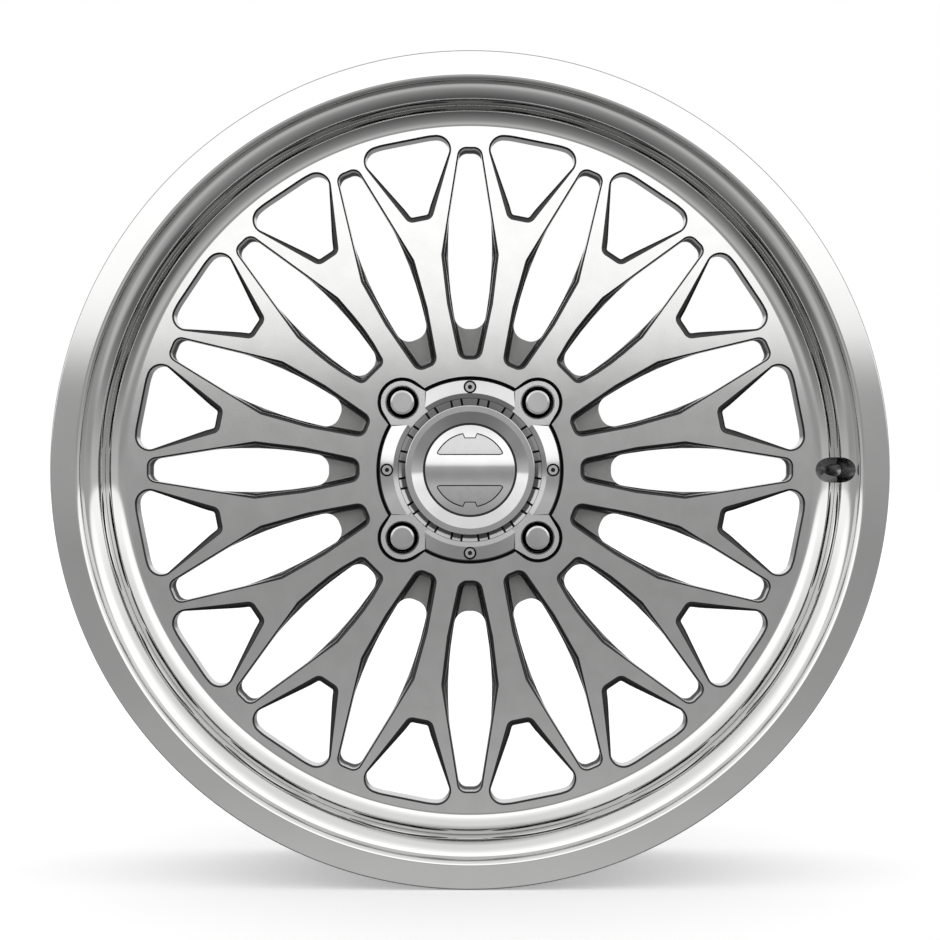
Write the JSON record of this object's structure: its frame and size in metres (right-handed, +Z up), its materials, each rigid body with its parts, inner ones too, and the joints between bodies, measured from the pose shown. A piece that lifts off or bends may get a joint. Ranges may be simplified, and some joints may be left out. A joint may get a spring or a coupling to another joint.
{
  "type": "forged racing wheel rim",
  "caption": "One-piece forged off-road racing wheel with a split-spoke face, polished stepped lip, machined centre cap and closed lug nuts.",
  "frame": {"origin": "on the axle, halfway between the street-side lip and the rear flange, which is the centre of the bounding box", "axes": "+Y runs along the axle from the street side to the vehicle side, so the street face looks toward -Y; +Z is up; the valve hole is on the +X side"},
  "size_m": [0.5888, 0.198, 0.5888],
  "materials": {
    "forged_aluminium": "machined satin face with a mirror-polished lip and shoulder, clear coated",
    "cap_aluminium": "machined, clear coated",
    "polished_aluminium": "polished",
    "badge_aluminium": "satin with bead-blasted sunken panels",
    "black_rubber": "matte",
    "bright_steel": "bright zinc",
    "nut_steel": "polished"
  },
  "bodies": {
    "root": {"wheel_body": "forged_aluminium", "cap_gasket": "black_rubber", "cap_base_plate": "cap_aluminium", "cap_castle_ring": "cap_aluminium", "cap_crown": "polished_aluminium", "cap_badge": "badge_aluminium", "badge_o_ring": "black_rubber", "badge_retaining_ring": "bright_steel", "cap_screw_1": "bright_steel", "cap_screw_2": "bright_steel", "cap_screw_3": "bright_steel", "cap_screw_4": "bright_steel", "crown_screw_1": "bright_steel", "crown_screw_2": "bright_steel", "crown_screw_3": "bright_steel", "crown_screw_4": "bright_steel", "lug_nut_1": "nut_steel", "lug_nut_2": "nut_steel", "lug_nut_3": "nut_steel", "lug_nut_4": "nut_steel"}
  },
  "joints": []
}
